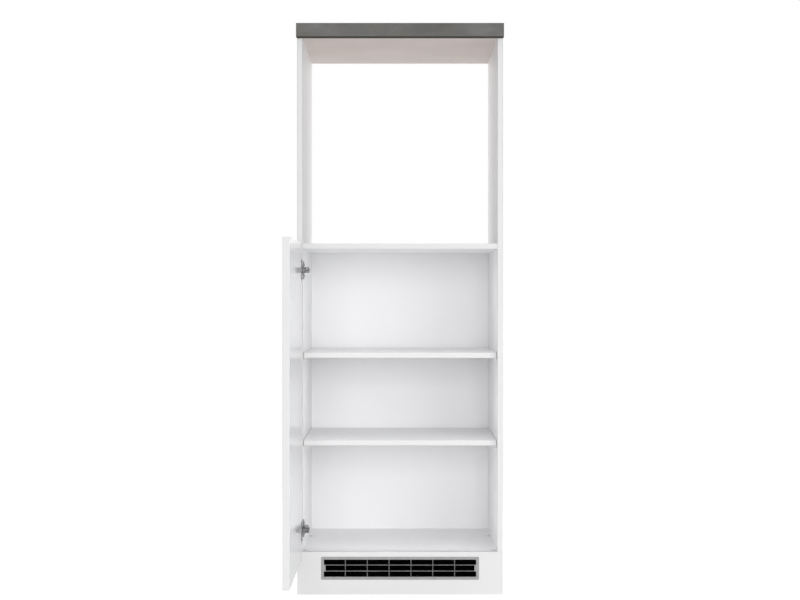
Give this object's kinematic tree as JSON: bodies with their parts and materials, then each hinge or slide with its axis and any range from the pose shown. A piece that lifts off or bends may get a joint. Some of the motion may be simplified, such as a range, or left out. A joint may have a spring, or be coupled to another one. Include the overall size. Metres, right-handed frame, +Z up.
{
  "type": "oven housing unit",
  "caption": "Tall cabinet with a stone-look worktop, an open oven niche above, and a door compartment with two shelves over a vented plinth below.",
  "frame": {"origin": "middle of the plinth board's underside on the floor, at mid width and mid thickness of the board", "axes": "+Z up, the front of the cabinet looks along -Y, +X to the right of someone who faces it"},
  "size_m": [0.603, 1.162, 1.655],
  "materials": {
    "white_board": "white melamine film on chipboard, satin",
    "white_band": "white ABS edge band, satin",
    "back_board": "white lacquered hardboard",
    "stone_laminate": "grey speckled stone-look laminate, satin",
    "chipboard": "raw chipboard",
    "backing_paper": "pinkish beige backing paper, matt",
    "grey_plastic": "silver grey moulded plastic, satin",
    "white_plastic": "white moulded plastic",
    "nickel_steel": "nickel-plated pressed steel",
    "zinc_screws": "zinc-plated steel"
  },
  "bodies": {
    "housing": {"left_side_panel": "white_board", "right_side_panel": "white_board", "bottom_panel": "white_board", "oven_shelf": "white_board", "plinth_board": "white_board", "lower_shelf": "white_board", "upper_shelf": "white_board", "left_side_edge_band": "white_band", "right_side_edge_band": "white_band", "oven_shelf_edge_band": "white_band", "lower_shelf_edge_band": "white_band", "upper_shelf_edge_band": "white_band", "back_panel": "back_board", "worktop_laminate": "stone_laminate", "worktop_left_strip": "stone_laminate", "worktop_right_strip": "stone_laminate", "worktop_core": "chipboard", "worktop_backing_sheet": "backing_paper", "vent_grille": "grey_plastic", "connector_housing_left_front": "white_plastic", "connector_housing_left_rear": "white_plastic", "connector_housing_right_front": "white_plastic", "connector_housing_right_rear": "white_plastic", "connector_screw_left_front": "zinc_screws", "connector_screw_left_rear": "zinc_screws", "connector_screw_right_front": "zinc_screws", "connector_screw_right_rear": "zinc_screws", "lower_shelf_peg_left_front": "white_plastic", "lower_shelf_peg_left_rear": "white_plastic", "lower_shelf_peg_right_front": "white_plastic", "lower_shelf_peg_right_rear": "white_plastic", "upper_shelf_peg_left_front": "white_plastic", "upper_shelf_peg_left_rear": "white_plastic", "upper_shelf_peg_right_front": "white_plastic", "upper_shelf_peg_right_rear": "white_plastic", "upper_hinge_arm": "nickel_steel", "upper_mounting_plate": "nickel_steel", "upper_plate_screw_low": "zinc_screws", "upper_plate_screw_high": "zinc_screws", "upper_arm_screw_front": "zinc_screws", "upper_arm_screw_rear": "zinc_screws", "lower_hinge_arm": "nickel_steel", "lower_mounting_plate": "nickel_steel", "lower_plate_screw_low": "zinc_screws", "lower_plate_screw_high": "zinc_screws", "lower_arm_screw_front": "zinc_screws", "lower_arm_screw_rear": "zinc_screws"},
    "door": {"door_panel": "white_board", "door_edge_band": "white_band", "upper_hinge_cup": "nickel_steel", "lower_hinge_cup": "nickel_steel", "upper_cup_screw_low": "zinc_screws", "upper_cup_screw_high": "zinc_screws", "lower_cup_screw_low": "zinc_screws", "lower_cup_screw_high": "zinc_screws"},
    "upper_outer": {"upper_outer_link": "nickel_steel"},
    "upper_inner": {"upper_inner_link": "nickel_steel"},
    "lower_outer": {"lower_outer_link": "nickel_steel"},
    "lower_inner": {"lower_inner_link": "nickel_steel"}
  },
  "joints": [
    {"name": "door_swing", "type": "hinge", "parent": "housing", "child": "door", "pos_m": [-0.293, -0.019, 0.5635], "axis": [0, 0, 1], "range_deg": [-20, 90]},
    {"name": "upper_outer_link_turn", "type": "hinge", "parent": "housing", "child": "upper_outer", "pos_m": [-0.2665, -0.011, 0.943], "axis": [0, 0, 1], "range_deg": [-22, 6]},
    {"name": "upper_inner_link_turn", "type": "hinge", "parent": "housing", "child": "upper_inner", "pos_m": [-0.2735, -0.0155, 0.943], "axis": [0, 0, 1], "range_deg": [-19, 5]},
    {"name": "lower_outer_link_turn", "type": "hinge", "parent": "housing", "child": "lower_outer", "pos_m": [-0.2665, -0.011, 0.188], "axis": [0, 0, 1], "range_deg": [-22, 6]},
    {"name": "lower_inner_link_turn", "type": "hinge", "parent": "housing", "child": "lower_inner", "pos_m": [-0.2735, -0.0155, 0.188], "axis": [0, 0, 1], "range_deg": [-19, 5]}
  ],
  "couplings": [
    {"joint": "upper_outer_link_turn", "follows": "door_swing", "ratio": -0.23},
    {"joint": "upper_inner_link_turn", "follows": "door_swing", "ratio": -0.19},
    {"joint": "lower_outer_link_turn", "follows": "door_swing", "ratio": -0.23},
    {"joint": "lower_inner_link_turn", "follows": "door_swing", "ratio": -0.19}
  ]
}
